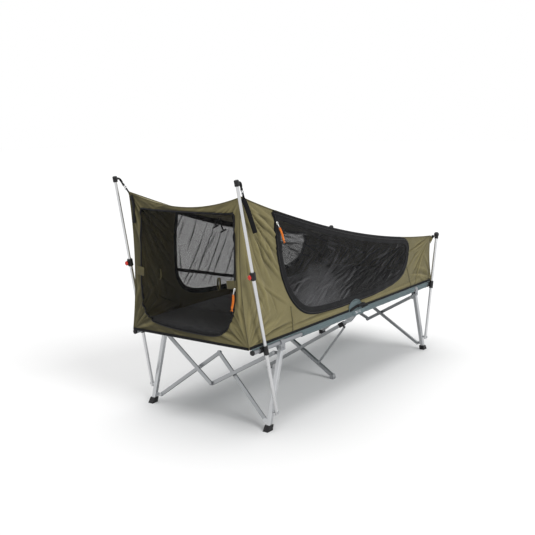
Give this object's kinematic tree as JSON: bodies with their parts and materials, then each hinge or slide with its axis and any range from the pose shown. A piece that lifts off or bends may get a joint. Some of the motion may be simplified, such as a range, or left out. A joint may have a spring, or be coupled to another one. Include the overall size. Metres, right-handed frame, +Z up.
{
  "type": "tent cot",
  "caption": "Folding aluminium camp stretcher with crossed legs and telescopic corner uprights that hold a low tent with mesh doors over its bed.",
  "frame": {"origin": "on the floor under the middle of the part", "axes": "+X from the head end to the foot end, +Z up, near side at -Y"},
  "size_m": [2.2362, 0.9286, 1.336],
  "materials": {
    "aluminium_tube": "satin",
    "aluminium_casting": "satin",
    "black_plastic": "matte",
    "red_plastic": "gloss",
    "orange_tape": "matte",
    "black_webbing": "matte",
    "olive_canvas": "matte",
    "black_mesh": "matte",
    "slate_fabric": "matte",
    "mattress_fabric": "matte"
  },
  "bodies": {
    "near_side": {"deck": "slate_fabric", "foot_panel": "olive_canvas", "head_door": "black_mesh", "head_panel": "olive_canvas", "mattress": "mattress_fabric", "near_centre_hinge": "aluminium_casting", "near_door": "black_mesh", "near_foot_upright": "aluminium_tube", "near_foot_upright_cap": "black_plastic", "near_leg_foot": "aluminium_tube", "near_leg_foot_cap": "black_plastic", "near_leg_head": "aluminium_tube", "near_leg_head_cap": "black_plastic", "near_lock_collar": "black_plastic", "near_lower_tube": "aluminium_tube", "near_rail_foot": "aluminium_tube", "near_rail_head": "aluminium_tube", "near_sleeve_foot": "aluminium_casting", "near_sleeve_head": "aluminium_casting", "near_wall": "olive_canvas", "roof": "olive_canvas"},
    "far_side": {"far_rail_head": "aluminium_tube", "far_rail_foot": "aluminium_tube", "far_centre_hinge": "aluminium_casting", "far_leg_head": "aluminium_tube", "far_leg_foot": "aluminium_tube", "far_leg_head_cap": "black_plastic", "far_leg_foot_cap": "black_plastic", "far_sleeve_head": "aluminium_casting", "far_sleeve_foot": "aluminium_casting", "far_lower_tube": "aluminium_tube", "far_lock_collar": "black_plastic", "far_foot_upright": "aluminium_tube", "far_foot_upright_cap": "black_plastic", "far_wall": "olive_canvas", "far_door": "black_mesh"},
    "near_head_upper": {"near_upper_tube": "aluminium_tube", "near_head_upright_cap": "black_plastic", "near_head_strap": "black_webbing"},
    "near_button": {"near_lock_button": "red_plastic"},
    "far_head_upper": {"far_upper_tube": "aluminium_tube", "far_head_upright_cap": "black_plastic", "far_head_strap": "black_webbing"},
    "far_button": {"far_lock_button": "red_plastic"},
    "near_pull": {"near_door_pull": "orange_tape"},
    "head_pull": {"head_door_pull": "orange_tape"},
    "head_hanging_near": {"head_hanging_bar_near": "aluminium_tube"},
    "head_hanging_far": {"head_hanging_bar_far": "aluminium_tube"},
    "head_rising_near": {"head_rising_bar_near": "aluminium_tube"},
    "head_rising_far": {"head_rising_bar_far": "aluminium_tube"},
    "foot_hanging_near": {"foot_hanging_bar_near": "aluminium_tube"},
    "foot_hanging_far": {"foot_hanging_bar_far": "aluminium_tube"},
    "foot_rising_near": {"foot_rising_bar_near": "aluminium_tube"},
    "foot_rising_far": {"foot_rising_bar_far": "aluminium_tube"},
    "near_middle": {"near_middle_leg": "aluminium_tube"},
    "far_middle": {"far_middle_leg": "aluminium_tube"},
    "near_sliding_collar": {"near_collar": "black_plastic"},
    "near_strut_bar": {"near_strut": "aluminium_tube"},
    "far_sliding_collar": {"far_collar": "black_plastic"},
    "far_strut_bar": {"far_strut": "aluminium_tube"}
  },
  "joints": [
    {"name": "width_fold", "type": "slide", "parent": "near_side", "child": "far_side", "axis": [0, -1, 0], "range_m": [0, 0.28], "deforming": ["head_panel", "head_door", "foot_panel", "roof", "deck", "mattress"]},
    {"name": "near_upright_telescope", "type": "slide", "parent": "near_side", "child": "near_head_upper", "axis": [-0.1893, 0.0262, 0.9816], "range_m": [-0.42, 0]},
    {"name": "near_lock_press", "type": "slide", "parent": "near_side", "child": "near_button", "axis": [0.9819, 0, 0.1894], "range_m": [0, 0.003], "stiffness_N_per_m": 500},
    {"name": "far_upright_telescope", "type": "slide", "parent": "far_side", "child": "far_head_upper", "axis": [-0.1893, -0.0262, 0.9816], "range_m": [-0.42, 0]},
    {"name": "far_lock_press", "type": "slide", "parent": "far_side", "child": "far_button", "axis": [0.9819, 0, 0.1894], "range_m": [0, 0.003], "stiffness_N_per_m": 500},
    {"name": "near_pull_swing", "type": "hinge", "parent": "near_side", "child": "near_pull", "pos_m": [-0.76625, -0.39358, 1.09], "axis": [0, -1, 0], "range_deg": [-70, 70]},
    {"name": "head_pull_swing", "type": "hinge", "parent": "near_side", "child": "head_pull", "pos_m": [-1.03425, -0.345, 0.785], "axis": [-1, 0, 0], "range_deg": [-70, 70]},
    {"name": "head_hanging_swing", "type": "hinge", "parent": "near_side", "child": "head_hanging_near", "pos_m": [-0.77762, -0.385, 0.39103], "axis": [-0.9549, 0, 0.297], "range_deg": [0, 26.02]},
    {"name": "head_hanging_knuckle", "type": "hinge", "parent": "head_hanging_near", "child": "head_hanging_far", "pos_m": [-0.84623, 0, 0.17046], "axis": [-0.9549, 0, 0.297], "range_deg": [-51.98, 0]},
    {"name": "head_rising_swing", "type": "hinge", "parent": "near_side", "child": "head_rising_near", "pos_m": [-0.88455, -0.385, 0.04728], "axis": [-0.9549, 0, 0.297], "range_deg": [-21.64, 0]},
    {"name": "head_rising_knuckle", "type": "hinge", "parent": "head_rising_near", "child": "head_rising_far", "pos_m": [-0.79336, 0, 0.34042], "axis": [-0.9549, 0, 0.297], "range_deg": [0, 43.24]},
    {"name": "foot_hanging_swing", "type": "hinge", "parent": "near_side", "child": "foot_hanging_near", "pos_m": [0.80911, -0.385, 0.39103], "axis": [0.9549, 0, 0.297], "range_deg": [-26.02, 0]},
    {"name": "foot_hanging_knuckle", "type": "hinge", "parent": "foot_hanging_near", "child": "foot_hanging_far", "pos_m": [0.87773, 0, 0.17046], "axis": [0.9549, 0, 0.297], "range_deg": [0, 51.98]},
    {"name": "foot_rising_swing", "type": "hinge", "parent": "near_side", "child": "foot_rising_near", "pos_m": [0.91604, -0.385, 0.04728], "axis": [0.9549, 0, 0.297], "range_deg": [0, 21.64]},
    {"name": "foot_rising_knuckle", "type": "hinge", "parent": "foot_rising_near", "child": "foot_rising_far", "pos_m": [0.82486, 0, 0.34042], "axis": [0.9549, 0, 0.297], "range_deg": [-43.24, 0]},
    {"name": "middle_leg_swing", "type": "hinge", "parent": "near_side", "child": "near_middle", "pos_m": [0.01575, -0.375, 0.4], "axis": [1, 0, 0], "range_deg": [-26.05, 0]},
    {"name": "middle_leg_crossing", "type": "hinge", "parent": "near_middle", "child": "far_middle", "pos_m": [0.01575, 0, 0.16714], "axis": [1, 0, 0], "range_deg": [0, 52.04]},
    {"name": "near_collar_slide", "type": "slide", "parent": "near_middle", "child": "near_sliding_collar", "axis": [0, 0.8495, -0.5275], "range_m": [0, 0.13955]},
    {"name": "near_strut_swing", "type": "hinge", "parent": "near_sliding_collar", "child": "near_strut_bar", "pos_m": [0.01575, -0.33563, 0.34966], "axis": [1, 0, 0], "range_deg": [-0.196, 0]},
    {"name": "far_collar_slide", "type": "slide", "parent": "far_middle", "child": "far_sliding_collar", "axis": [0, -0.8495, -0.5275], "range_m": [0, 0.13955]},
    {"name": "far_strut_swing", "type": "hinge", "parent": "far_sliding_collar", "child": "far_strut_bar", "pos_m": [0.01575, 0.33563, 0.34966], "axis": [1, 0, 0], "range_deg": [0, 0.196]}
  ],
  "couplings": [
    {"joint": "head_hanging_swing", "follows": "width_fold", "rad_per_m": 1.6185},
    {"joint": "head_hanging_knuckle", "follows": "width_fold", "rad_per_m": -3.237},
    {"joint": "head_rising_swing", "follows": "width_fold", "rad_per_m": -1.346},
    {"joint": "head_rising_knuckle", "follows": "width_fold", "rad_per_m": 2.692},
    {"joint": "foot_hanging_swing", "follows": "width_fold", "rad_per_m": -1.6185},
    {"joint": "foot_hanging_knuckle", "follows": "width_fold", "rad_per_m": 3.237},
    {"joint": "foot_rising_swing", "follows": "width_fold", "rad_per_m": 1.346},
    {"joint": "foot_rising_knuckle", "follows": "width_fold", "rad_per_m": -2.692},
    {"joint": "middle_leg_swing", "follows": "width_fold", "rad_per_m": -1.6204},
    {"joint": "middle_leg_crossing", "follows": "width_fold", "rad_per_m": 3.2407},
    {"joint": "near_collar_slide", "follows": "width_fold", "ratio": 0.49767},
    {"joint": "near_strut_swing", "follows": "width_fold", "rad_per_m": -0.009118},
    {"joint": "far_collar_slide", "follows": "width_fold", "ratio": 0.49767},
    {"joint": "far_strut_swing", "follows": "width_fold", "rad_per_m": 0.009117}
  ]
}
